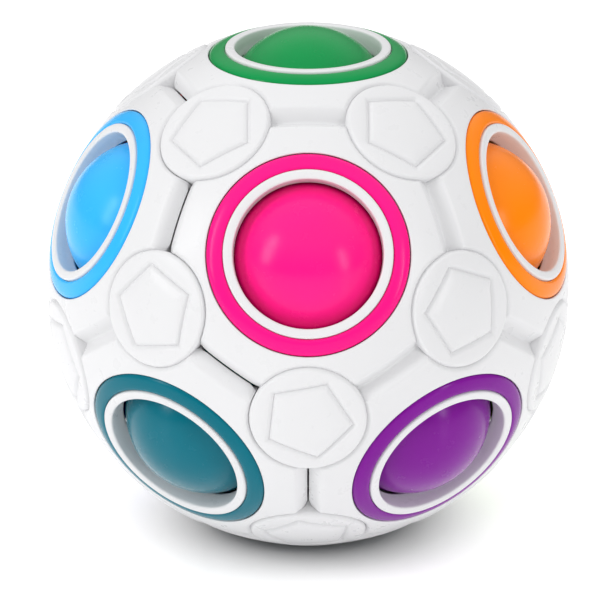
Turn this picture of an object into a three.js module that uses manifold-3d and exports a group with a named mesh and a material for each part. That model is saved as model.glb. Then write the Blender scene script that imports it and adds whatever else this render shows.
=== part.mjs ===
// A sliding-ball puzzle: a hollow plastic sphere with twelve round windows, eleven coloured
// balls that fill all the windows but one, and a soft core that keeps the balls in their seats.
// A ball next to the empty window is pushed in and across, and comes up in the empty window.
// Units are millimetres, +Z is up, and the origin is on the table under the toy's centre.
import * as THREE from 'three';
import { mergeGeometries, mergeVertices } from 'three/addons/utils/BufferGeometryUtils.js';
import Module from 'manifold-3d';

const wasm = await Module();
wasm.setup();

// Shell
const SHELL_R = 35;            // outside of the sphere
const WALL = 3;                // wall of the sphere
const SEAM_GAP = 0.3;          // between the two halves, and round the lobes that cross the seam

// Balls and core
const BALL_R = 11;
const BALL_GAP = 0.45;         // between a resting ball and the lower edge of its window's bore
const CORE_GAP = 0.27;         // between the core and each resting ball

// Windows
const CATCH = 1.3;             // how much smaller than a ball the bore is, all round
const COLLAR = 1.15;           // width of the flat rim round it, which the toy stands on
const BORE_DEPTH = 2.5;        // length of the straight bore below the flat rim
const FLARE = 0.7;             // how far the bore opens out for each millimetre below that

// Coloured rings pressed into grooves round the windows
const RING_WIDTH = 2.05;
const RING_HEIGHT = 1.65;
const RING_CROWN = 0.12;       // how far the middle of a ring stands above the sphere
const RING_SINK = 0.18;        // how far its two edges lie below the sphere
const RING_GAP = 0.2;          // round a ring in its groove

// Round bosses where three windows meet, each with a five-sided line cut into its face
const BOSS_R = 7.8;
const BOSS_RISE = 0.25;
const BOSS_EDGE = 0.3;         // chamfer round a boss
const LINE_INSET = 1.85;       // from a boss's edge to the corners of the line
const LINE_SIDES = 5;
const LINE_HALF = 0.45;        // half of the line's width
const LINE_DEPTH = 0.3;        // at its corners

// Grooves between neighbouring windows
const CHANNEL_WIDTH = 3.8;
const CHANNEL_FLOOR = 1;
const CHANNEL_DEPTH = 1;

// Where a boss crosses the seam it laps over a ledge of the other half and snaps in with a peg
const LEDGE = 1.3;             // thickness of the ledge
const PEG_R = 1.1;
const PEG_OUT = 4.5;           // from the boss's axis to the peg's
const PEG_GAP = 0.3;           // round the peg in its hole
const PEG_BITE = 1.1;          // how far the peg runs up into the boss

// Number of flat sides that stand for each kind of curve
const WINDOW_SIDES = 20;
const BOSS_SIDES = 12;
const PEG_SIDES = 8;
const BALL_STEPS = 2;
const CORE_STEPS = 2;

const NEIGHBOURS = 5;          // windows round each window
const CLEAR = 2;               // how far a cutting shape reaches past what it cuts
const MERGE = 1e-4;            // points nearer than this are one point
const TILT = Math.atan(0.5);   // height of the two belts of windows above and below the middle

const COLOURS = {
  white: 0xf1f2f5, green: 0x0fb45f, pink: 0xff3d98, orange: 0xff8a12, sky: 0x35b8f5,
  teal: 0x00818f, purple: 0x7a2a9c, yellow: 0xffd21c, red: 0xe0262e, lime: 0x9bd030,
  navy: 0x2748b8, lilac: 0xc79be6, grey: 0x8d949c, foam: 0x4a4d52,
};

// The windows by name: azimuth in degrees (0 looks towards -Y), the belt, and the shell half.
const WINDOWS = [
  { name: 'green', azimuth: 0, belt: 'top', half: 'a' },
  { name: 'pink', azimuth: 0, belt: 'upper', half: 'a' },
  { name: 'orange', azimuth: 72, belt: 'upper', half: 'a' },
  { name: 'yellow', azimuth: 144, belt: 'upper', half: 'a' },
  { name: 'purple', azimuth: 36, belt: 'lower', half: 'a' },
  { name: 'lime', azimuth: 108, belt: 'lower', half: 'a' },
  { name: 'sky', azimuth: -72, belt: 'upper', half: 'b' },
  { name: 'red', azimuth: -144, belt: 'upper', half: 'b' },
  { name: 'teal', azimuth: -36, belt: 'lower', half: 'b' },
  { name: 'navy', azimuth: -108, belt: 'lower', half: 'b' },
  { name: 'lilac', azimuth: 180, belt: 'lower', half: 'b' },
  { name: 'grey', azimuth: 0, belt: 'bottom', half: 'b' },
];
const EMPTY_WINDOW = 'grey';
const ELEVATION = { top: Math.PI / 2, upper: TILT, lower: -TILT, bottom: -Math.PI / 2 };

for (const window of WINDOWS) {
  const azimuth = THREE.MathUtils.degToRad(window.azimuth);
  const elevation = ELEVATION[window.belt];
  window.axis = new THREE.Vector3(
    Math.sin(azimuth) * Math.cos(elevation),
    -Math.cos(azimuth) * Math.cos(elevation),
    Math.sin(elevation),
  );
}

// Neighbouring windows stand 63.4 degrees apart; the next nearest are 116.6 degrees apart.
const areNeighbours = (a, b) => a !== b && a.axis.dot(b.axis) > 0;
const middleOf = (...windows) => {
  const sum = new THREE.Vector3();
  windows.forEach((window) => sum.add(window.axis));
  return sum.normalize();
};

// Every pair of neighbours shares a channel, and every three that touch share a boss.
const channels = [];
const bosses = [];
WINDOWS.forEach((a, i) => WINDOWS.slice(i + 1).forEach((b, j) => {
  if (!areNeighbours(a, b)) return;
  channels.push({ axis: middleOf(a, b), across: a.axis.clone().sub(b.axis).normalize() });
  WINDOWS.slice(i + j + 2).forEach((c) => {
    if (areNeighbours(a, c) && areNeighbours(b, c)) bosses.push(makeBoss([a, b, c]));
  });
}));

// A boss belongs to the half that holds two or three of its windows. Its third window, if that
// is in the other half, carries the ledge that the boss laps over, and a corner of the boss's
// line points to it. On the other bosses a corner points to the middle window of the half.
function makeBoss(windows) {
  const inA = windows.filter((window) => window.half === 'a');
  const half = inA.length >= 2 ? 'a' : 'b';
  const guest = windows.find((window) => window.half !== half);
  const toward = guest ?? windows.find(isMiddle);
  return { axis: middleOf(...windows), windows, half, guest, toward: toward.axis };
}

function isMiddle(window) {
  return WINDOWS.every((other) => !areNeighbours(window, other) || other.half === window.half);
}

// Heights along a window's axis
const onSphere = (radius, r) => Math.sqrt(radius * radius - r * r);
const WINDOW_R = BALL_R - CATCH;
const LAND_H = onSphere(SHELL_R, WINDOW_R + COLLAR / 2);
const BORE_END_H = LAND_H - BORE_DEPTH;
const BALL_H = BORE_END_H - onSphere(BALL_R + BALL_GAP, WINDOW_R);
const CORE_R = BALL_H - BALL_R - CORE_GAP;
const HOLLOW_R = SHELL_R - WALL;
const COLLAR_R = WINDOW_R + COLLAR;
const RING_IN = COLLAR_R + RING_GAP;
const RING_OUT = RING_IN + RING_WIDTH;
const RING_R = (RING_IN + RING_OUT) / 2;
const RING_BASE_H = onSphere(SHELL_R, RING_R) + RING_CROWN - RING_HEIGHT;
const GROOVE_H = RING_BASE_H - RING_GAP;

// Points round a window: every side's corner, and the factor that puts the flats of the sides,
// instead of their corners, at a radius
const SIDE_ANGLES = Array.from({ length: WINDOW_SIDES }, (_, i) => 2 * Math.PI * i / WINDOW_SIDES);
const OPENED = 1 / Math.cos(Math.PI / WINDOW_SIDES);
const HALF_STEP = WINDOWS[0].axis.angleTo(WINDOWS[1].axis) / 2;
const bossNear = (window) => bosses.find((boss) => boss.windows.includes(window));

// A turned solid. The profile is a list of [radius, height], going round anticlockwise.
function turned(profile, sides) {
  const closed = profile[0][0] === 0 ? profile : [...profile, profile[0]];
  return new THREE.LatheGeometry(closed.map(([r, h]) => new THREE.Vector2(r, h)), sides);
}

// Turn a shape made along +Y so that it points along an axis, with its first side's corner
// towards another direction.
function aim(axis, toward) {
  const z = toward.clone().addScaledVector(axis, -toward.dot(axis)).normalize();
  const x = new THREE.Vector3().crossVectors(axis, z);
  return new THREE.Matrix4().makeBasis(x, axis, z);
}

function toSolid(geometry) {
  const bare = geometry.clone();
  bare.deleteAttribute('normal');
  bare.deleteAttribute('uv');
  const merged = mergeVertices(bare, MERGE);
  const corners = merged.index.array;
  const triangles = [];
  for (let i = 0; i < corners.length; i += 3) {
    const [a, b, c] = corners.slice(i, i + 3);
    if (a !== b && b !== c && c !== a) triangles.push(a, b, c);
  }
  return new wasm.Manifold(new wasm.Mesh({
    numProp: 3,
    vertProperties: new Float32Array(merged.attributes.position.array),
    triVerts: new Uint32Array(triangles),
  }));
}

function toGeometry(solid) {
  const mesh = solid.getMesh();
  const geometry = new THREE.BufferGeometry();
  geometry.setAttribute('position', new THREE.BufferAttribute(mesh.vertProperties, 3));
  geometry.setIndex(new THREE.BufferAttribute(mesh.triVerts, 1));
  geometry.computeVertexNormals();
  return geometry;
}

const cut = (solid, tools) => tools.reduce((rest, tool) => rest.subtract(tool), solid);
const join = (solid, extras) => extras.reduce((sum, extra) => sum.add(extra), solid);

// A sphere whose facets follow the windows: one corner of each first triangle is on each axis.
function sphere(radius, steps) {
  const corners = WINDOWS.flatMap((window) => window.axis.toArray());
  const faces = [];
  WINDOWS.forEach((a, i) => WINDOWS.forEach((b, j) => WINDOWS.forEach((c, k) => {
    if (!(i < j && i < k && areNeighbours(a, b) && areNeighbours(b, c) && areNeighbours(a, c))) return;
    const turn = new THREE.Vector3().crossVectors(a.axis, b.axis).dot(c.axis);
    if (turn > 0) faces.push(i, j, k);
  })));
  return new THREE.PolyhedronGeometry(corners, faces, radius, steps);
}

// One window's share of the shell's surface, as rings of points round its axis: from the edge of
// the share inside the hollow, out through the bore, over the flat rim and the groove for the
// coloured ring, to the edge of the share on the outside.
function windowSurface(window) {
  const grooveR = RING_OUT + RING_GAP;
  const grooveEdge = circle(grooveR, onSphere(SHELL_R, grooveR));
  const shareEdge = edgeOfShare(SHELL_R);
  const between = grooveEdge.map((point, i) => point.clone().add(shareEdge[i]).setLength(SHELL_R));
  const mouthR = WINDOW_R + FLARE * (BORE_END_H - onSphere(HOLLOW_R, WINDOW_R + FLARE));
  const rings = [
    edgeOfShare(HOLLOW_R), circle(mouthR * OPENED, onSphere(HOLLOW_R, mouthR)),
    circle(WINDOW_R * OPENED, BORE_END_H), circle(WINDOW_R * OPENED, LAND_H),
    circle(COLLAR_R, LAND_H), circle(COLLAR_R, GROOVE_H), circle(grooveR, GROOVE_H),
    grooveEdge, between, shareEdge,
  ];
  const index = [];
  for (let i = 0; i < (rings.length - 1) * WINDOW_SIDES; i++) {
    const next = (i + 1) % WINDOW_SIDES === 0 ? i + 1 - WINDOW_SIDES : i + 1;
    index.push(i, i + WINDOW_SIDES, next, next, i + WINDOW_SIDES, next + WINDOW_SIDES);
  }
  const place = aim(window.axis, bossNear(window).axis);
  const points = rings.flat().map((point) => point.applyMatrix4(place));
  const geometry = new THREE.BufferGeometry().setFromPoints(points);
  geometry.setIndex(index);
  return geometry;
}

function circle(radius, height) {
  return SIDE_ANGLES.map((angle) => new THREE.Vector3(
    radius * Math.sin(angle), height, radius * Math.cos(angle),
  ));
}

// The five-sided line half way to the neighbouring windows, on a sphere
function edgeOfShare(radius) {
  const side = 2 * Math.PI / NEIGHBOURS;
  return SIDE_ANGLES.map((angle) => {
    const fromMiddle = (angle % side) - side / 2;
    const reach = Math.tan(HALF_STEP) / Math.cos(fromMiddle);
    return new THREE.Vector3(reach * Math.sin(angle), 1, reach * Math.cos(angle)).setLength(radius);
  });
}

// The coloured ring, with a rounded face that follows the sphere
function ringShape() {
  const edgeH = (r) => onSphere(SHELL_R, r) - RING_SINK;
  return turned([
    [RING_IN, RING_BASE_H], [RING_OUT, RING_BASE_H], [RING_OUT, edgeH(RING_OUT)],
    [RING_R, RING_BASE_H + RING_HEIGHT], [RING_IN, edgeH(RING_IN)],
  ], WINDOW_SIDES);
}

// A groove with sloping sides, from one boss to the next
function channelCutter({ axis, across }) {
  const floor = SHELL_R - CHANNEL_DEPTH;
  const top = SHELL_R + CLEAR;
  const slope = (CHANNEL_WIDTH - CHANNEL_FLOOR) / 2 / CHANNEL_DEPTH;
  const topHalf = CHANNEL_FLOOR / 2 + slope * (top - floor);
  const section = new THREE.Shape([
    new THREE.Vector2(-CHANNEL_FLOOR / 2, floor), new THREE.Vector2(CHANNEL_FLOOR / 2, floor),
    new THREE.Vector2(topHalf, top), new THREE.Vector2(-topHalf, top),
  ]);
  const length = channelLength();
  const geometry = new THREE.ExtrudeGeometry(section, { depth: length, bevelEnabled: false });
  geometry.translate(0, 0, -length / 2);
  const along = new THREE.Vector3().crossVectors(across, axis);
  return geometry.applyMatrix4(new THREE.Matrix4().makeBasis(across, axis, along));
}

// A channel runs on under the bosses at its two ends, past their edges.
function channelLength() {
  const betweenBosses = 2 * Math.asin(bosses[0].axis.distanceTo(nearestBoss(bosses[0]).axis) / 2);
  return 2 * (SHELL_R * Math.sin(betweenBosses / 2) - BOSS_R) + CLEAR;
}

function nearestBoss(boss) {
  const others = bosses.filter((other) => other !== boss);
  others.sort((a, b) => a.axis.distanceTo(boss.axis) - b.axis.distanceTo(boss.axis));
  return others[0];
}

// Bosses
const LEDGE_R = HOLLOW_R + LEDGE;
const LOBE_R = LEDGE_R + SEAM_GAP;

function bossShape() {
  const top = SHELL_R + BOSS_RISE;
  const shoulder = BOSS_R - BOSS_EDGE;
  return turned([
    [0, LOBE_R], [BOSS_R / 2, onSphere(LOBE_R, BOSS_R / 2)], [BOSS_R, onSphere(LOBE_R, BOSS_R)],
    [BOSS_R, onSphere(top, shoulder) - BOSS_EDGE], [shoulder, onSphere(top, shoulder)],
    [BOSS_R / 2, onSphere(top, BOSS_R / 2)], [0, top],
  ], BOSS_SIDES);
}

// What the five-sided line takes out of a boss's face: a groove with sloping sides
function lineCutter() {
  const r = BOSS_R - LINE_INSET;
  const bottom = onSphere(SHELL_R + BOSS_RISE, r) - LINE_DEPTH;
  const spread = CLEAR * LINE_HALF / LINE_DEPTH;
  return turned([
    [r, bottom], [r + spread, bottom + CLEAR], [r - spread, bottom + CLEAR],
  ], LINE_SIDES);
}

// What a boss takes out of the other half: the room above its ledge
function biteCutter() {
  const r = BOSS_R + SEAM_GAP;
  const top = SHELL_R + CLEAR;
  return turned([
    [0, LEDGE_R], [r / 2, onSphere(LEDGE_R, r / 2)], [r, onSphere(LEDGE_R, r)], [r, top], [0, top],
  ], BOSS_SIDES);
}

// A peg or its hole, beside the boss's axis and parallel to it
function pegShape(radius, bottom, top) {
  const peg = turned([[0, bottom], [radius, bottom], [radius, top], [0, top]], PEG_SIDES);
  return peg.translate(0, 0, PEG_OUT);
}
const PEG_TOP = onSphere(LOBE_R, PEG_OUT) + PEG_BITE;
const PEG_BOTTOM = onSphere(HOLLOW_R, PEG_OUT + PEG_R) + PEG_GAP;
const PEG_HOLE_BOTTOM = PEG_BOTTOM - CLEAR;

// The share of the sphere that belongs to a window, grown by half of the seam's gap
function windowShare(window) {
  const nextBoss = bossNear(window);
  const halfAngle = window.axis.angleTo(nextBoss.axis);
  const toSide = Math.sin(Math.atan(Math.tan(halfAngle) * Math.cos(Math.PI / NEIGHBOURS)));
  const tip = -SEAM_GAP / 2 / toSide;
  const length = SHELL_R + 2 * CLEAR;
  const edge = [length * Math.tan(halfAngle), tip + length];
  const share = turned([[0, tip], edge, [0, tip + length]], NEIGHBOURS);
  return share.applyMatrix4(aim(window.axis, nextBoss.axis));
}

const placed = (shape, { axis, toward }) => toSolid(shape.applyMatrix4(aim(axis, toward)));

function perforatedSphere() {
  const closed = toSolid(mergeGeometries(WINDOWS.map(windowSurface)));
  return cut(closed, channels.map((channel) => toSolid(channelCutter(channel))));
}

function shellHalf(whole, half) {
  const own = bosses.filter((boss) => boss.half === half);
  const lapping = own.filter((boss) => boss.guest);
  const lapped = bosses.filter((boss) => boss.half !== half && boss.guest);
  const others = WINDOWS.filter((window) => window.half !== half);
  const cutAway = cut(whole, [
    ...others.map((window) => toSolid(windowShare(window))),
    ...lapped.map((boss) => placed(biteCutter(), boss)),
    ...lapped.map((boss) => placed(pegShape(PEG_R + PEG_GAP, PEG_HOLE_BOTTOM, SHELL_R), boss)),
  ]);
  const joined = join(cutAway, [
    ...own.map((boss) => placed(bossShape(), boss)),
    ...lapping.map((boss) => placed(pegShape(PEG_R, PEG_BOTTOM, PEG_TOP), boss)),
  ]);
  return cut(joined, own.map((boss) => placed(lineCutter(), boss)));
}

const material = (colour, roughness) => new THREE.MeshStandardMaterial({
  color: COLOURS[colour], roughness, metalness: 0,
});
const glossy = (colour) => material(colour, 0.25);
const soft = (colour) => material(colour, 0.9);

function addPiece(parent, name, geometry, finish) {
  const mesh = new THREE.Mesh(geometry, finish);
  mesh.name = name;
  parent.add(mesh);
  return mesh;
}

const toy = new THREE.Group();
const ball = new THREE.Group();
ball.position.z = LAND_H;
toy.add(ball);

const whole = perforatedSphere();
addPiece(ball, 'shell_half_a', toGeometry(shellHalf(whole, 'a')), glossy('white'));
addPiece(ball, 'shell_half_b', toGeometry(shellHalf(whole, 'b')), glossy('white'));
addPiece(ball, 'foam_core', sphere(CORE_R, CORE_STEPS), soft('foam'));

for (const window of WINDOWS) {
  const ring = addPiece(ball, `ring_${window.name}`, ringShape(), glossy(window.name));
  ring.quaternion.setFromRotationMatrix(aim(window.axis, bossNear(window).axis));
  if (window.name === EMPTY_WINDOW) continue;
  const shape = sphere(BALL_R, BALL_STEPS);
  const filler = addPiece(ball, `ball_${window.name}`, shape, glossy(window.name));
  filler.position.copy(window.axis).multiplyScalar(BALL_H);
}

export default toy;
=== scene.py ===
"""The looks of a twelve-window ball puzzle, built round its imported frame.

Lengths are in millimetres from the sphere's centre until a mesh is made, which is in metres.
"""

import math

import bmesh
import bpy
import numpy as np
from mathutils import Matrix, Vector


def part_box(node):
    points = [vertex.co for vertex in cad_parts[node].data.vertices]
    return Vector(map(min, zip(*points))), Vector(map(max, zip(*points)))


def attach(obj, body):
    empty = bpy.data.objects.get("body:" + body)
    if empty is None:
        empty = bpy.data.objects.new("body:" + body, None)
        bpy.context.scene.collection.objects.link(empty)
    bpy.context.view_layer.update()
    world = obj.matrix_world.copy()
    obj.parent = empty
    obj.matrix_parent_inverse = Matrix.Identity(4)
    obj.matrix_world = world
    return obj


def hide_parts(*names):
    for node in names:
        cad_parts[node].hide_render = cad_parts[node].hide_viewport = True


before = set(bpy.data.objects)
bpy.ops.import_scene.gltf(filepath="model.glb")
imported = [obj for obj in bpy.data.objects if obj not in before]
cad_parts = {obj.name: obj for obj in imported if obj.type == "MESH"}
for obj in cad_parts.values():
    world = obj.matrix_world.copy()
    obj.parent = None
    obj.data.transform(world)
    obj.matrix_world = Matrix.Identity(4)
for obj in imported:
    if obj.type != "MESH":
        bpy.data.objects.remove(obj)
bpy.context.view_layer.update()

MM = 0.001

# Shell
SHELL_R = 35.0
WALL = 3.0
SEAM_GAP = 0.24                # between the two halves
SEAM_DRAFT = 0.7               # how much each half falls back from the seam inside
HOLLOW_R = SHELL_R - WALL

# Windows
WINDOW_R = 9.7                 # straight bore
COLLAR_R = 10.97               # outside of the white rim that the toy stands on
RIM_MIDDLE_R = 10.275          # where the flat rim is level with the sphere
RIM_H = math.sqrt(SHELL_R ** 2 - RIM_MIDDLE_R ** 2)
BORE_DEPTH = 2.5
BORE_STRAIGHT = 1.2            # depth of the first ring of points in the bore
LIP = 0.12                     # the bore's lower end stands in by this much, close to the ball
LIP_TOP = 0.35                 # heights of the lip's bends, from the bottom of the bore
LIP_UPPER = 0.05
LIP_LOWER = -0.1
LIP_BOTTOM = -0.45
FLARE = 0.7                    # how far the bore opens out for each millimetre below that
GROOVE_R = 13.22               # outside of the groove for the coloured ring
GROOVE_DEPTH = 2.3             # below the rim
BORE_ROUND = 0.3               # rounding of the rim's inner edge
COLLAR_ROUND = 0.32            # and of its outer edge
GROOVE_ROUND = 0.3             # rounding of the groove's outer edge, outwards
GROOVE_ROUND_DOWN = 0.22       # and downwards

# Coloured rings
RING_IN = 11.0
RING_OUT = 13.1
RING_BASE = 2.1                # bottom of a ring below the rim
RING_CROWN = 0.13              # middle of a ring above the sphere
RING_EDGE = 0.42               # edges of a ring below the sphere
RING_FULLNESS = 2.6            # power of the face's curve: 2 is an ellipse, more is squarer

# Grooves between neighbouring windows
CHANNEL_WIDTH = 4.1
CHANNEL_SHOULDER = 0.8         # radius that rounds the groove's upper edges
CHANNEL_SLOPE = math.radians(46)
CHANNEL_FLOOR = 0.25           # rounding of the floor where there is no seam

# Round bosses where three windows meet
BOSS_R = 7.8
BOSS_RISE = 0.1
BOSS_LINE = 0.42               # depth of the line round a boss
BOSS_LINE_IN = 0.5             # width of that line on the boss
BOSS_LINE_OUT = 0.6            # and outside it
BOSS_GAP = 0.1                 # between a boss and the other half
PIT_HALF = 0.35                # how far each half stands back where the seam meets a boss
PIT_LENGTH = 0.85              # and how far from the boss that begins
PLATE_R = 5.95                 # corners of the five-sided line on a boss
PLATE_LINE = 0.42              # its depth
PLATE_LINE_HALF = 0.6          # half of its width
PLATE_LINE_POWER = 1.5         # above 1, its sides steepen towards the middle

# Balls
BALL_R = 11.0
PART_LINE = 0.02               # height of the fine line where a ball's mould closed
PART_LINE_HALF = 0.12
GATE_R = 0.9                   # the small flat left by the moulding gate
POLE_SCATTER = 0.12            # how far the gates stray from pointing inwards
POLE_SEED = 7

# Foam core
CORE_R = 13.4
CORE_SEAT_R = 11.25            # cups in the core that a pressed ball goes into
PRESS = 3.8

# Fineness
CORNER_STEPS = (8, 8, 6)       # rays from a groove's middle to its corner, shoulder and boss
ROUND_STEPS = 4
SHOULDER_STEPS = 7
CHANNEL_OFFSETS = (1.0, 0.55, 0.3, 0.15)
LINE_OFFSETS = (PIT_LENGTH, 0.8, BOSS_LINE_OUT, 0.42, 0.28, 0.14, 0.06)
WEB_SHARES = (0.3, 0.65)       # rings of points between the ring's groove and the first line
BOSS_EDGE_OFFSETS = (0.02, 0.08, 0.16, 0.26, 0.36, BOSS_LINE_IN, 0.6)
PLATE_LINE_SHARES = (1, 0.75, 0.45, 0.2, 0, -0.2, -0.45, -0.75, -1)
PLATE_SHARES = (0.6, 0.25)
FREE_RIM_POINTS = 36
FREE_RIM_START = 0.03
FREE_RIM_LEAST = 1             # radians: less than this is only the step between two points
BOSS_SIDES = 120
RING_SIDES = 160
RING_STEPS = 25
BALL_SIDES = 128
CORE_SUBDIVISIONS = 6
WELD = 0.003
SAME_ANGLE = 1e-9
SHARP_ANGLE = math.radians(55)

NEIGHBOURS = 5
PLATE_CORNERS = 5
TILT = math.atan(0.5)
HALF_STEP = math.acos(math.sqrt(0.2)) / 2
TO_BOSS = math.acos(math.sqrt((5 + 2 * math.sqrt(5)) / 15))
HALF_SECTOR = math.pi / NEIGHBOURS

# The windows by name: azimuth in degrees (0 looks towards -Y), the belt's height, the half.
WINDOWS = {
    "green": (0, math.pi / 2, "a"),
    "pink": (0, TILT, "a"),
    "orange": (72, TILT, "a"),
    "yellow": (144, TILT, "a"),
    "purple": (36, -TILT, "a"),
    "lime": (108, -TILT, "a"),
    "sky": (-72, TILT, "b"),
    "red": (-144, TILT, "b"),
    "teal": (-36, -TILT, "b"),
    "navy": (-108, -TILT, "b"),
    "lilac": (180, -TILT, "b"),
    "grey": (0, -math.pi / 2, "b"),
}
EMPTY_WINDOW = "grey"

# Points that no axis runs through, so that a turned piece can start its circle towards them
RING_HINT = np.array([0.3, 0.5, 0.81])
BALL_HINT = np.array([0.21, 0.9, 0.38])

# Linear colours of the plastics
PLASTICS = {
    "green": (0.0, 0.28, 0.065),
    "pink": (1.0, 0.008, 0.235),
    "orange": (1.0, 0.24, 0.0),
    "yellow": (0.95, 0.62, 0.02),
    "purple": (0.2, 0.006, 0.28),
    "lime": (0.33, 0.62, 0.03),
    "sky": (0.035, 0.46, 0.95),
    "red": (0.72, 0.02, 0.03),
    "teal": (0.0, 0.145, 0.2),
    "navy": (0.02, 0.07, 0.46),
    "lilac": (0.55, 0.33, 0.8),
    "grey": (0.27, 0.30, 0.33),
}


def middle_of_box(node):
    low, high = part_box(node)
    return (low + high) / 2


CENTRE = middle_of_box("foam_core")


def unit(vector):
    return vector / np.linalg.norm(vector)


def window_axis(name):
    azimuth, height, _ = WINDOWS[name]
    turn = math.radians(azimuth)
    level = math.cos(height)
    return np.array([math.sin(turn) * level, -math.cos(turn) * level, math.sin(height)])


AXES = {name: window_axis(name) for name in WINDOWS}
HALVES = {name: half for name, (_, _, half) in WINDOWS.items()}


def are_neighbours(a, b):
    return a != b and AXES[a] @ AXES[b] > 0


def frame_at(axis, towards):
    """Two unit vectors square to axis: the first leans towards a point, the second is to its left."""
    first = unit(towards - axis * (towards @ axis))
    return first, np.cross(axis, first)


def neighbours_in_order(name):
    """A window's five neighbours, anticlockwise as seen from outside."""
    near = [other for other in WINDOWS if are_neighbours(name, other)]
    ahead, left = frame_at(AXES[name], AXES[near[0]])
    return sorted(near, key=lambda n: math.atan2(AXES[n] @ left, AXES[n] @ ahead) % math.tau)


class Boss:
    """The round boss between three windows. It belongs to the half with most of them."""

    def __init__(self, names):
        self.names = names
        self.axis = unit(sum(AXES[name] for name in names))
        in_a = sum(HALVES[name] == "a" for name in names)
        self.half = "a" if in_a >= 2 else "b"
        guests = [name for name in names if HALVES[name] != self.half]
        self.towards = AXES[guests[0]] if guests else AXES[middle_window(self.half)]


def middle_window(half):
    """The window whose five neighbours are all in its own half."""
    own = [name for name in WINDOWS if HALVES[name] == half]
    return next(n for n in own if sum(are_neighbours(n, other) for other in own) == NEIGHBOURS)


def all_bosses():
    found = {}
    for name in WINDOWS:
        near = neighbours_in_order(name)
        for i, second in enumerate(near):
            names = tuple(sorted((name, second, near[(i + 1) % NEIGHBOURS])))
            found.setdefault(names, Boss(names))
    return found


BOSSES = all_bosses()


# Surface depths below the sphere

def channel_depth(off, seam):
    """Depth of a groove at a distance from its middle line."""
    off = np.where(seam, off, np.hypot(off, CHANNEL_FLOOR))
    inward = CHANNEL_WIDTH / 2 - off
    round_end = CHANNEL_SHOULDER * math.sin(CHANNEL_SLOPE)
    bend = np.clip(inward, 0, round_end)
    rounded = CHANNEL_SHOULDER - np.sqrt(CHANNEL_SHOULDER ** 2 - bend ** 2)
    return rounded + np.maximum(inward - round_end, 0) * math.tan(CHANNEL_SLOPE)


def line_depth(outside):
    """Depth of the outer side of the line round a boss."""
    return BOSS_LINE * np.clip(1 - outside / BOSS_LINE_OUT, 0, 1) ** 2


def channel_offsets():
    """Distances from a groove's middle at which it is worth having points."""
    round_end = CHANNEL_SHOULDER * math.sin(CHANNEL_SLOPE)
    shoulder = CHANNEL_WIDTH / 2 - round_end * np.linspace(0, 1, SHOULDER_STEPS)
    return [*shoulder, *CHANNEL_OFFSETS]


# One window's share of the shell

def corner_angle(off, reach):
    """Angle round a window at which a line beside a groove's middle meets a boss's circle."""
    window, other = AXES["green"], AXES["pink"]
    boss = next(b for b in BOSSES.values() if {"green", "pink"} <= set(b.names))
    middle = unit(window + other)
    side = unit(window - other)
    along = unit(middle - boss.axis * (middle @ boss.axis))
    lift = math.sin(off / SHELL_R) / math.sin(reach / SHELL_R)
    rim = along * math.sqrt(1 - lift ** 2) + side * lift
    point = boss.axis * math.cos(reach / SHELL_R) + rim * math.sin(reach / SHELL_R)
    ahead, _ = frame_at(window, middle)
    return math.acos(unit(point - window * (point @ window)) @ ahead)


def sector_angles(seam, guest):
    """Angles of the rays from the middle of a groove to a boss's axis, past each corner."""
    reach = BOSS_R + (BOSS_GAP if guest else 0)
    stops = [
        0,
        corner_angle(SEAM_GAP / 2 + PIT_HALF if seam else 0, reach),
        corner_angle(CHANNEL_WIDTH / 2, reach),
        HALF_SECTOR,
    ]
    parts = [
        np.linspace(stops[i], stops[i + 1], steps, endpoint=False)
        for i, steps in enumerate(CORNER_STEPS)
    ]
    return np.concatenate([*parts, [HALF_SECTOR]])


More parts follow.
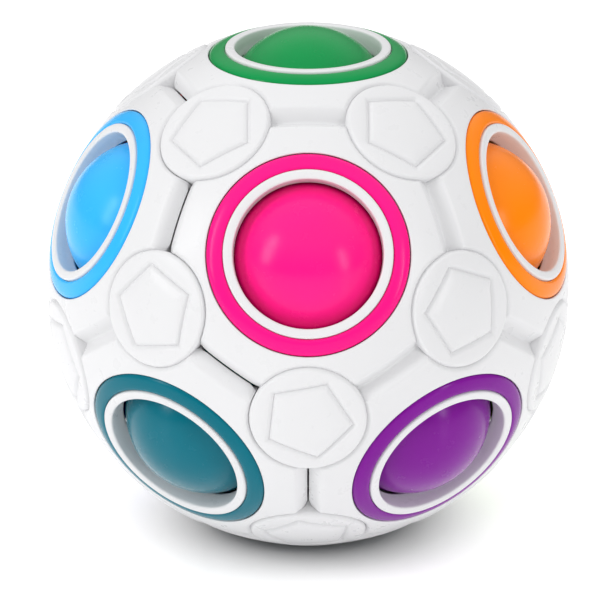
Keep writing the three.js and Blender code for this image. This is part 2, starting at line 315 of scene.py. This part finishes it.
class Rays:
    """Directions round a window, each with the groove and the boss it runs towards."""

    def __init__(self, name):
        self.axis = AXES[name]
        near = neighbours_in_order(name)
        rows = []
        for i, other in enumerate(near):
            after = near[(i + 1) % NEIGHBOURS]
            boss = BOSSES[tuple(sorted((name, other, after)))]
            rows += self.half_sector(name, other, boss, 1)
            rows += self.half_sector(name, after, boss, -1)
        columns = list(zip(*rows))
        self.out = np.array(columns[0])
        self.angle = np.array(columns[1])
        self.side = np.array(columns[2])
        self.boss = np.array(columns[3])
        self.seam = np.array(columns[4])
        self.guest = np.array(columns[5])
        self.boss_reach = BOSS_R + np.where(self.guest, BOSS_GAP, 0)
        seam_edge = self.directions(self.to_line(SEAM_GAP / 2))
        outside = self.from_boss(seam_edge) - self.boss_reach
        pit = PIT_HALF * np.clip(1 - outside / PIT_LENGTH, 0, 1)
        self.seam_half = np.where(self.seam, SEAM_GAP / 2 + pit, 0)

    def half_sector(self, name, other, boss, turn):
        seam = HALVES[name] != HALVES[other]
        guest = HALVES[name] != boss.half
        ahead, left = frame_at(self.axis, AXES[other])
        side = unit(self.axis - AXES[other])
        angles = sector_angles(seam, guest)
        angles = angles[:-1] if turn > 0 else angles[:0:-1]
        return [
            (ahead * math.cos(a) + left * math.sin(a) * turn, a, side, boss.axis, seam, guest)
            for a in angles
        ]

    def to_line(self, off):
        """Angle from the window's axis at which each ray meets a line beside the groove."""
        rise = math.sin(HALF_STEP)
        fall = math.cos(HALF_STEP) * np.cos(self.angle)
        size = np.hypot(rise, fall)
        return np.arctan2(rise, fall) - np.arcsin(np.sin(off / SHELL_R) / size)

    def to_boss(self, reach):
        """Angle from the window's axis at which each ray meets a circle round the boss."""
        level = math.cos(TO_BOSS)
        cross = math.sin(TO_BOSS) * np.cos(HALF_SECTOR - self.angle)
        share = np.cos(reach / SHELL_R) / np.hypot(level, cross)
        met = np.arctan2(cross, level) - np.arccos(np.minimum(share, 1))
        return np.where(share <= 1, met, np.pi)

    def end(self):
        return np.minimum(self.to_line(self.seam_half), self.to_boss(self.boss_reach))

    def directions(self, tilt):
        tilt = np.broadcast_to(tilt, self.angle.shape)[:, None]
        return self.axis * np.cos(tilt) + self.out * np.sin(tilt)

    def circle(self, radius, height):
        return self.axis * height + self.out * radius

    def from_boss(self, points):
        """Distance of directions from each ray's boss, measured on the sphere."""
        return np.arccos(np.minimum(np.sum(points * self.boss, axis=1), 1)) * SHELL_R

    def web_points(self, tilt):
        """Points of the outer surface at an angle from the window's axis."""
        points = self.directions(tilt)
        off = np.arcsin(np.sum(points * self.side, axis=1)) * SHELL_R
        channel = channel_depth(off, self.seam)
        outside = self.from_boss(points) - self.boss_reach
        return points * (SHELL_R - np.hypot(channel, line_depth(outside)))[:, None]


def on_sphere(radius, r):
    return math.sqrt(radius ** 2 - r ** 2)


def rounded(corner, start, end):
    """Points that round a corner between two points, as a quadratic curve."""
    corner, start, end = (np.array(p, float) for p in (corner, start, end))
    shares = np.linspace(0, 1, ROUND_STEPS + 1)
    return [
        tuple(start * (1 - t) ** 2 + corner * 2 * t * (1 - t) + end * t ** 2) for t in shares
    ]


def window_profile():
    """Radius and height of the bore, the rim and the ring's groove, from inside to outside."""
    mouth_r = WINDOW_R + FLARE * (RIM_H - BORE_DEPTH - on_sphere(HOLLOW_R, WINDOW_R + FLARE))
    mouth = (mouth_r, on_sphere(HOLLOW_R, mouth_r))
    bore_h = RIM_H - BORE_DEPTH
    groove_h = RIM_H - GROOVE_DEPTH
    edge_h = on_sphere(SHELL_R, GROOVE_R)
    out = GROOVE_R + GROOVE_ROUND
    rim_start = (WINDOW_R, RIM_H - BORE_ROUND)
    rim_end = (WINDOW_R + BORE_ROUND, RIM_H)
    collar_start = (COLLAR_R - COLLAR_ROUND, RIM_H)
    collar_end = (COLLAR_R, RIM_H - COLLAR_ROUND)
    groove_start = (GROOVE_R, edge_h - GROOVE_ROUND_DOWN)
    groove_end = (out, on_sphere(SHELL_R, out))
    return [
        mouth,
        (WINDOW_R + LIP, bore_h + LIP_BOTTOM),
        (WINDOW_R - LIP, bore_h + LIP_LOWER),
        (WINDOW_R - LIP, bore_h + LIP_UPPER),
        (WINDOW_R, bore_h + LIP_TOP),
        (WINDOW_R, RIM_H - BORE_STRAIGHT),
        *rounded((WINDOW_R, RIM_H), rim_start, rim_end),
        *rounded((COLLAR_R, RIM_H), collar_start, collar_end),
        (COLLAR_R, groove_h),
        (GROOVE_R, groove_h),
        *rounded((GROOVE_R, edge_h), groove_start, groove_end),
    ]


class Body:
    """Points and faces gathered ring by ring, and then welded into one closed mesh."""

    def __init__(self):
        self.points = []
        self.faces = []

    def add(self, points):
        first = len(self.points)
        self.points.extend(points)
        return list(range(first, len(self.points)))

    def strip(self, one, two, keep=None):
        """Quads between two closed rings of the same length, on the kept sides only."""
        count = len(one)
        for i in range(count):
            if keep is None or keep[i]:
                j = (i + 1) % count
                self.faces.append((one[i], two[i], two[j], one[j]))

    def fan(self, ring, tip):
        self.faces.extend(
            (ring[i], tip, ring[(i + 1) % len(ring)]) for i in range(len(ring))
        )

    def zip_rings(self, one, two, turns_one, turns_two):
        """Triangles between two rings whose points stand at different angles."""
        i = j = 0
        while i < len(one) or j < len(two):
            next_one = turns_one[i + 1] if i + 1 < len(one) else math.tau + turns_one[0]
            next_two = turns_two[j + 1] if j + 1 < len(two) else math.tau + turns_two[0]
            a, b = one[i % len(one)], two[j % len(two)]
            if j == len(two) or (i < len(one) and next_one <= next_two):
                i += 1
                self.faces.append((a, b, one[i % len(one)]))
            else:
                j += 1
                self.faces.append((a, b, two[j % len(two)]))

    def to_mesh(self, name):
        mesh = bpy.data.meshes.new(name)
        points = np.array(self.points) * MM + np.array(CENTRE)
        mesh.from_pydata(points.tolist(), [], self.faces)
        made = bmesh.new()
        made.from_mesh(mesh)
        bmesh.ops.remove_doubles(made, verts=made.verts, dist=WELD * MM)
        bmesh.ops.dissolve_degenerate(made, edges=made.edges, dist=WELD * MM / 4)
        bmesh.ops.recalc_face_normals(made, faces=made.faces)
        made.to_mesh(mesh)
        made.free()
        return mesh


def add_share(body, name, boss_rims):
    """Adds one window's share of the shell, and notes its points on each boss's circle."""
    rays = Rays(name)
    end = rays.end()
    profile = window_profile()
    start = math.atan2(*profile[-1])
    lines = [rays.to_line(np.maximum(off, rays.seam_half)) for off in channel_offsets()]
    lines += [rays.to_boss(rays.boss_reach + off) for off in LINE_OFFSETS]
    tilts = np.sort(np.minimum(lines, end), axis=0)
    web = [start + (tilts[0] - start) * share for share in WEB_SHARES] + [*tilts, end]
    on_boss = rays.to_boss(rays.boss_reach) <= end + SAME_ANGLE
    draft = np.where(rays.seam & ~on_boss, SEAM_DRAFT / SHELL_R, 0)
    inside = rays.directions(end - draft) * HOLLOW_R
    mouth_tilt = math.atan2(*profile[0])
    between = rays.directions((end + mouth_tilt) / 2) * HOLLOW_R
    rings = [inside, between]
    rings += [rays.circle(radius, height) for radius, height in profile]
    rings += [rays.web_points(tilt) for tilt in web]
    indices = [body.add(ring) for ring in rings]
    for one, two in zip(indices, indices[1:]):
        body.strip(one, two)
    both_on_boss = on_boss & np.roll(on_boss, -1)
    free = np.where(both_on_boss, rays.guest & np.roll(rays.guest, -1), rays.seam)
    body.strip(indices[-1], indices[0], free)
    for i in np.flatnonzero(on_boss & ~rays.guest):
        key = tuple(np.round(rays.boss[i], 6))
        boss_rims.setdefault(key, []).append((rings[-1][i], rings[0][i]))


def plate_reach(turn, apothem):
    """Angle from a boss's axis to a five-sided line round it."""
    fifth = math.tau / PLATE_CORNERS
    from_middle = (turn % fifth) - fifth / 2
    return np.arctan(np.tan(apothem / SHELL_R) / np.cos(from_middle))


def boss_depth(inward):
    """Depth of a boss at a distance in from its circle."""
    return (BOSS_RISE + BOSS_LINE) * np.clip(1 - inward / BOSS_LINE_IN, 0, 1) ** 2 - BOSS_RISE


def add_boss(body, boss, rim):
    """Adds a boss to the shares' points on its circle, and closes its free side at the seam."""
    ahead, left = frame_at(boss.axis, boss.towards)

    def turn_of(point):
        return math.atan2(point @ left, point @ ahead) % math.tau

    def directions(reach, turns):
        reach = np.broadcast_to(reach, turns.shape)[:, None]
        rim_out = np.outer(np.cos(turns), ahead) + np.outer(np.sin(turns), left)
        return boss.axis * np.cos(reach) + rim_out * np.sin(reach)

    held = {round(turn_of(outer), 5): (outer, inner) for outer, inner in rim}
    held_turns = sorted(held)
    rows = [(turn, *held[turn], False) for turn in held_turns]
    rows += free_rim(held_turns, directions)
    rows.sort(key=lambda row: row[0])
    turns = np.array([row[0] for row in rows])
    outer = body.add([row[1] for row in rows])
    inner = body.add([row[2] for row in rows])
    free = np.array([row[3] for row in rows])
    body.strip(outer, inner, free | np.roll(free, -1))

    rings = [outer]
    for inward in BOSS_EDGE_OFFSETS:
        height = SHELL_R - float(boss_depth(inward))
        rings.append(body.add(directions((BOSS_R - inward) / SHELL_R, turns) * height))
    for one, two in zip(rings, rings[1:]):
        body.strip(one, two)
    add_plate(body, directions, rings[-1], turns, boss.axis)

    half_way = body.add(directions(BOSS_R / 2 / SHELL_R, turns) * HOLLOW_R)
    body.strip(inner, half_way)
    body.fan(half_way, body.add([boss.axis * HOLLOW_R])[0])


def free_rim(held_turns, directions):
    """Points of a boss's circle where no share meets it, which is at the seam."""
    widest = max(range(len(held_turns)), key=lambda i: gap_after(held_turns, i))
    gap = gap_after(held_turns, widest)
    if gap < FREE_RIM_LEAST:
        return []
    start = FREE_RIM_START / BOSS_R
    steps = np.linspace(start, gap - start, FREE_RIM_POINTS)
    turns = (held_turns[widest] + steps) % math.tau
    points = directions(BOSS_R / SHELL_R, turns)
    outer = points * (SHELL_R - BOSS_LINE)
    inner = points * HOLLOW_R
    return [(turn, outer[i], inner[i], True) for i, turn in enumerate(turns)]


def gap_after(turns, i):
    return (turns[(i + 1) % len(turns)] - turns[i]) % math.tau


def add_plate(body, directions, around, around_turns, axis):
    """Adds a boss's face inside its edge, with the five-sided line."""
    turns = np.arange(BOSS_SIDES) * math.tau / BOSS_SIDES
    apothem = PLATE_R * math.cos(math.pi / PLATE_CORNERS)
    top = SHELL_R + BOSS_RISE
    rings = []
    for share in PLATE_LINE_SHARES:
        reach = plate_reach(turns, apothem + share * PLATE_LINE_HALF)
        height = top - PLATE_LINE * (1 - abs(share)) ** PLATE_LINE_POWER
        rings.append(body.add(directions(reach, turns) * height))
    for share in PLATE_SHARES:
        reach = plate_reach(turns, apothem * share)
        rings.append(body.add(directions(reach, turns) * top))
    body.zip_rings(around, rings[0], around_turns, turns)
    for one, two in zip(rings, rings[1:]):
        body.strip(one, two)
    body.fan(rings[-1], body.add([axis * top])[0])


# Objects

def add_object(name, mesh, material, body_name, slot, *nodes):
    piece = bpy.data.objects.new(name, mesh)
    bpy.context.scene.collection.objects.link(piece)
    mesh.materials.clear()
    mesh.materials.append(material)
    mesh.shade_smooth()
    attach(piece, body_name)
    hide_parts(*nodes)
    return piece


def shell_half(half, material):
    body = Body()
    boss_rims = {}
    for name in WINDOWS:
        if HALVES[name] == half:
            add_share(body, name, boss_rims)
    for boss in BOSSES.values():
        if boss.half == half:
            add_boss(body, boss, boss_rims[tuple(np.round(boss.axis, 6))])
    mesh = body.to_mesh(f"moulded_half_{half}")
    node = f"shell_half_{half}"
    add_object(f"moulded_half_{half}", mesh, material, "shell", "shell_white", node)
    mesh.set_sharp_from_angle(angle=SHARP_ANGLE)


def turned_body(profile, axis, sides):
    """A turned piece. The profile is a closed loop of radius and height."""
    body = Body()
    ahead, left = frame_at(axis, RING_HINT)
    turns = np.arange(sides) * math.tau / sides
    out = np.outer(np.cos(turns), ahead) + np.outer(np.sin(turns), left)
    rings = [body.add(axis * height + out * radius) for radius, height in profile]
    for one, two in zip(rings, rings[1:] + rings[:1]):
        body.strip(one, two)
    return body


def ring_profile():
    """Section of a coloured ring: a flat foot and a rounded face."""
    middle = (RING_IN + RING_OUT) / 2
    half = (RING_OUT - RING_IN) / 2
    foot_h = RIM_H - RING_BASE
    profile = [(RING_IN, foot_h), (RING_OUT, foot_h)]
    for share in np.linspace(1, -1, RING_STEPS):
        r = middle + half * math.sin(share * math.pi / 2)
        across = abs((r - middle) / half)
        bulge = max(1 - across ** RING_FULLNESS, 0) ** (1 / RING_FULLNESS)
        height = on_sphere(SHELL_R, r) - RING_EDGE + (RING_EDGE + RING_CROWN) * bulge
        profile.append((r, height))
    return profile


def coloured_ring(name, material):
    mesh = turned_body(ring_profile(), AXES[name], RING_SIDES).to_mesh(f"band_{name}")
    add_object(f"band_{name}", mesh, material, "shell", f"plastic_{name}", f"ring_{name}")


def ball_mesh(name, pole):
    """A moulded ball, with its parting line and gate mark square to a pole."""
    body = Body()
    ahead, left = frame_at(pole, BALL_HINT)
    turns = np.arange(BALL_SIDES) * math.tau / BALL_SIDES
    out = np.outer(np.cos(turns), ahead) + np.outer(np.sin(turns), left)
    steps = np.linspace(0, math.pi, BALL_SIDES // 2)[1:-1]
    line = PART_LINE_HALF / BALL_R * np.array([-1, -0.5, 0, 0.5, 1])
    tilts = np.sort(np.concatenate([steps, math.pi / 2 + line, [GATE_R / BALL_R]]))
    middle = (np.array(middle_of_box(f"ball_{name}")) - np.array(CENTRE)) / MM
    rings = []
    for tilt in tilts:
        from_line = abs(tilt - math.pi / 2) * BALL_R / PART_LINE_HALF
        radius = BALL_R - PART_LINE * min(from_line, 1)
        height = min(radius * math.cos(tilt), on_sphere(BALL_R, GATE_R))
        rings.append(body.add(middle + pole * height + out * radius * math.sin(tilt)))
    for one, two in zip(rings, rings[1:]):
        body.strip(one, two)
    body.fan(rings[0], body.add([middle + pole * on_sphere(BALL_R, GATE_R)])[0])
    body.fan(rings[-1], body.add([middle - pole * (BALL_R - PART_LINE)])[0])
    return body.to_mesh(f"marble_{name}")


def loose_ball(name, pole, material):
    mesh = ball_mesh(name, pole)
    slot = f"plastic_{name}"
    add_object(f"marble_{name}", mesh, material, f"{name}_ball", slot, f"ball_{name}")


def foam_core(material):
    """The soft core: a foam ball with a cup under each window."""
    made = bmesh.new()
    bmesh.ops.create_icosphere(made, subdivisions=CORE_SUBDIVISIONS, radius=CORE_R)
    ball_h = (np.array(middle_of_box("ball_green")) - np.array(CENTRE))[2] / MM
    seats = [axis * (ball_h - PRESS) for axis in AXES.values()]
    for vert in made.verts:
        way = np.array(vert.co.normalized())
        reach = min(cup_reach(way, seat) for seat in seats)
        vert.co = Vector(way * reach * MM) + CENTRE
    mesh = bpy.data.meshes.new("foam_cushion")
    made.to_mesh(mesh)
    made.free()
    piece = add_object("foam_cushion", mesh, material, "shell", "foam", "foam_core")


def cup_reach(way, seat):
    """Distance from the centre to the core's surface on the way past one cup."""
    along = way @ seat
    inside = along ** 2 - (seat @ seat - CORE_SEAT_R ** 2)
    if along <= 0 or inside <= 0:
        return CORE_R
    return min(along - math.sqrt(inside), CORE_R)


# Materials

SHINE_TINT = 0.5               # share of the plastic's own colour in its shine
PLASTIC_IOR = 1.5
CLOUD_SCALE = 90               # noise scales, per metre
GLOSS_SCALE = 420
SKIN_SCALE = 900
CELL_SCALE = 1400
GRAIN_SCALE = 30
NOISE_LOW, NOISE_HIGH = 0.3, 0.7               # the middle range of a noise
GLOSS_LOW, GLOSS_HIGH = 0.85, 1.2              # shares of a plastic's roughness
PEEL_DEPTH = 0.0001                            # metres
CELL_DEPTH = 0.0003
CELL_STRENGTH = 0.5
FOAM_DARK, FOAM_PALE = (0.03, 0.031, 0.034), (0.085, 0.087, 0.092)
FOAM_ROUGHNESS = 0.9
SHELL_COLOUR = (0.725, 0.725, 0.735)
SHELL_FINISH = {"roughness": 0.3, "peel": 0.03, "tint": 0.985, "shine": 0.25}
RING_FINISH = {"roughness": 0.2, "peel": 0.03, "tint": 0.93, "shine": 0.22}
BALL_FINISH = {"roughness": 0.24, "peel": 0.04, "tint": 0.93, "shine": 0.33}


def new_material(name):
    material = bpy.data.materials.new(name)
    material.use_nodes = True
    nodes = material.node_tree.nodes
    return material, nodes, material.node_tree.links, nodes["Principled BSDF"]


def noise(nodes, links, place, scale, detail, roughness=0.5):
    found = nodes.new("ShaderNodeTexNoise")
    found.inputs["Scale"].default_value = scale
    found.inputs["Detail"].default_value = detail
    found.inputs["Roughness"].default_value = roughness
    links.new(place.outputs["Object"], found.inputs["Vector"])
    return found


def spread(nodes, links, source, low, high):
    """Maps a noise's middle range to low..high."""
    ramp = nodes.new("ShaderNodeMapRange")
    ramp.inputs["From Min"].default_value = NOISE_LOW
    ramp.inputs["From Max"].default_value = NOISE_HIGH
    ramp.inputs["To Min"].default_value = low
    ramp.inputs["To Max"].default_value = high
    links.new(source.outputs["Fac"], ramp.inputs["Value"])
    return ramp


def mix_colours(nodes, links, factor, one, two):
    mix = nodes.new("ShaderNodeMix")
    mix.data_type = "RGBA"
    mix.inputs["A"].default_value = (*one, 1)
    mix.inputs["B"].default_value = (*two, 1)
    links.new(factor, mix.inputs["Factor"])
    return mix.outputs["Result"]


def moulded_plastic(name, colour, roughness, peel, tint, shine):
    """Injection-moulded plastic: faint flow clouding, uneven gloss and an orange-peel skin.

    The clouding darkens the colour to its tint, and shine is the strength of the reflections.
    """
    material, nodes, links, shader = new_material(name)
    place = nodes.new("ShaderNodeTexCoord")
    clouds = noise(nodes, links, place, CLOUD_SCALE, 3)
    darker = tuple(channel * tint for channel in colour)
    clouding = spread(nodes, links, clouds, 0, 1)
    colour_out = mix_colours(nodes, links, clouding.outputs["Result"], colour, darker)
    links.new(colour_out, shader.inputs["Base Color"])
    gloss = noise(nodes, links, place, GLOSS_SCALE, 4, 0.6)
    uneven = spread(nodes, links, gloss, roughness * GLOSS_LOW, roughness * GLOSS_HIGH)
    links.new(uneven.outputs["Result"], shader.inputs["Roughness"])
    skin = noise(nodes, links, place, SKIN_SCALE, 2)
    bump = nodes.new("ShaderNodeBump")
    bump.inputs["Strength"].default_value = peel
    bump.inputs["Distance"].default_value = PEEL_DEPTH
    links.new(skin.outputs["Fac"], bump.inputs["Height"])
    links.new(bump.outputs["Normal"], shader.inputs["Normal"])
    shader.inputs["IOR"].default_value = PLASTIC_IOR
    shader.inputs["Specular IOR Level"].default_value = shine
    tinted = [SHINE_TINT * channel + 1 - SHINE_TINT for channel in colour]
    shader.inputs["Specular Tint"].default_value = (*tinted, 1)
    return material


def foam_material():
    material, nodes, links, shader = new_material("closed_cell_foam")
    place = nodes.new("ShaderNodeTexCoord")
    cells = nodes.new("ShaderNodeTexVoronoi")
    cells.inputs["Scale"].default_value = CELL_SCALE
    links.new(place.outputs["Object"], cells.inputs["Vector"])
    colour = mix_colours(nodes, links, cells.outputs["Distance"], FOAM_DARK, FOAM_PALE)
    links.new(colour, shader.inputs["Base Color"])
    bump = nodes.new("ShaderNodeBump")
    bump.inputs["Strength"].default_value = CELL_STRENGTH
    bump.inputs["Distance"].default_value = CELL_DEPTH
    links.new(cells.outputs["Distance"], bump.inputs["Height"])
    links.new(bump.outputs["Normal"], shader.inputs["Normal"])
    shader.inputs["Roughness"].default_value = FOAM_ROUGHNESS
    return material


# Stage

CAMERA_DISTANCE = 0.7364       # metres, as are all lengths of the stage
CAMERA_HEIGHT = math.radians(19.87)
CAMERA_NEAR = 0.05
SENSOR = 36.0
LENS = 329.1
SHIFT = (-0.01355, -0.0264)

WHITE = (1, 1, 1, 1)
FLOOR_HALF = 4
FLOOR_TONES = (0.75, 0.75, 0.75), (0.77, 0.77, 0.77)
FLOOR_ROUGHNESS = 0.32
PAINTED_GLOW_START, PAINTED_GLOW_FULL = 0.012, 0.03            # distances from the point under the toy's centre over which the floor's painted glow fades in, so that painted shade lies under the toy
# strength of the floor's painted glow: the floor gives off light though it is no lamp
PAINTED_GLOW = 0.5

SKY_LOW, SKY_HIGH = 0.1, 0.8                   # the room brightens between these, 1 being overhead
SKY_DIM, SKY_BRIGHT = 0.22, 1.2
# Light panels by name: place, size and watts
PANELS = {
    "left_box": ((-0.75, -0.42, 0.45), (0.2, 0.55), 2.9),
    "right_box": ((0.72, -0.6, 0.3), (0.12, 0.4), 1.5),
}


def add_camera():
    data = bpy.data.cameras.new("camera")
    data.sensor_width = SENSOR
    data.lens = LENS
    data.shift_x, data.shift_y = SHIFT
    data.clip_start = CAMERA_NEAR
    camera = bpy.data.objects.new("camera", data)
    way = Vector((0, -math.cos(CAMERA_HEIGHT), math.sin(CAMERA_HEIGHT)))
    camera.location = CENTRE + way * CAMERA_DISTANCE
    camera.rotation_euler = (-way).to_track_quat("-Z", "Y").to_euler()
    bpy.context.scene.collection.objects.link(camera)
    bpy.context.scene.camera = camera


def add_panel(name, place, size, power):
    """A soft light panel that faces the toy."""
    data = bpy.data.lights.new(name, "AREA")
    data.shape = "RECTANGLE"
    data.size, data.size_y = size
    data.energy = power
    panel = bpy.data.objects.new(name, data)
    panel.location = place
    panel.rotation_euler = (CENTRE - Vector(place)).to_track_quat("-Z", "Y").to_euler()
    bpy.context.scene.collection.objects.link(panel)


def smooth_fade(nodes, links, source, start, end, low, high):
    """Maps start..end to low..high along a smooth step."""
    fade = nodes.new("ShaderNodeMapRange")
    fade.interpolation_type = "SMOOTHSTEP"
    fade.inputs["From Min"].default_value = start
    fade.inputs["From Max"].default_value = end
    fade.inputs["To Min"].default_value = low
    fade.inputs["To Max"].default_value = high
    links.new(source, fade.inputs["Value"])
    return fade.outputs["Result"]


def painted_floor_glow(nodes, links, place):
    """Strength of the floor's painted glow: none under the toy, which paints shade there, and full
    some way off.
    """
    away = nodes.new("ShaderNodeVectorMath")
    away.operation = "LENGTH"
    links.new(place.outputs["Object"], away.inputs[0])
    return smooth_fade(nodes, links, away.outputs["Value"], PAINTED_GLOW_START, PAINTED_GLOW_FULL, 0, PAINTED_GLOW)


def add_floor():
    material, nodes, links, shader = new_material("pale_table")
    place = nodes.new("ShaderNodeTexCoord")
    grain = noise(nodes, links, place, GRAIN_SCALE, 3)
    tone = spread(nodes, links, grain, 0, 1)
    colour = mix_colours(nodes, links, tone.outputs["Result"], *FLOOR_TONES)
    links.new(colour, shader.inputs["Base Color"])
    shader.inputs["Roughness"].default_value = FLOOR_ROUGHNESS
    shader.inputs["Emission Color"].default_value = WHITE
    # The floor glows with painted light, which is faded out under the toy as painted shade
    links.new(painted_floor_glow(nodes, links, place), shader.inputs["Emission Strength"])
    made = bmesh.new()
    bmesh.ops.create_grid(made, x_segments=1, y_segments=1, size=FLOOR_HALF)
    mesh = bpy.data.meshes.new("floor")
    made.to_mesh(mesh)
    made.free()
    mesh.materials.append(material)
    floor = bpy.data.objects.new("floor", mesh)
    bpy.context.scene.collection.objects.link(floor)


def add_light():
    scene = bpy.context.scene
    scene.view_settings.view_transform = "Standard"
    scene.view_settings.look = "None"
    world = bpy.data.worlds.new("studio")
    world.use_nodes = True
    nodes, links = world.node_tree.nodes, world.node_tree.links
    place = nodes.new("ShaderNodeTexCoord")
    parts = nodes.new("ShaderNodeSeparateXYZ")
    links.new(place.outputs["Generated"], parts.inputs["Vector"])
    height = parts.outputs["Z"]
    strength = smooth_fade(nodes, links, height, SKY_LOW, SKY_HIGH, SKY_DIM, SKY_BRIGHT)
    nodes["Background"].inputs["Color"].default_value = WHITE
    links.new(strength, nodes["Background"].inputs["Strength"])
    scene.world = world
    for name, (place, size, power) in PANELS.items():
        add_panel(name, place, size, power)


def make_shell():
    material = moulded_plastic("shell_white", SHELL_COLOUR, **SHELL_FINISH)
    for half in ("a", "b"):
        shell_half(half, material)


def make_rings_and_balls():
    poles = np.random.default_rng(POLE_SEED)
    for name in WINDOWS:
        coloured_ring(name, moulded_plastic(f"plastic_{name}", PLASTICS[name], **RING_FINISH))
        pole = unit(poles.normal(size=3) * POLE_SCATTER - AXES[name])
        if name != EMPTY_WINDOW:
            satin = moulded_plastic(f"satin_{name}", PLASTICS[name], **BALL_FINISH)
            loose_ball(name, pole, satin)


add_camera()
add_floor()
add_light()
make_shell()
make_rings_and_balls()
foam_core(foam_material())
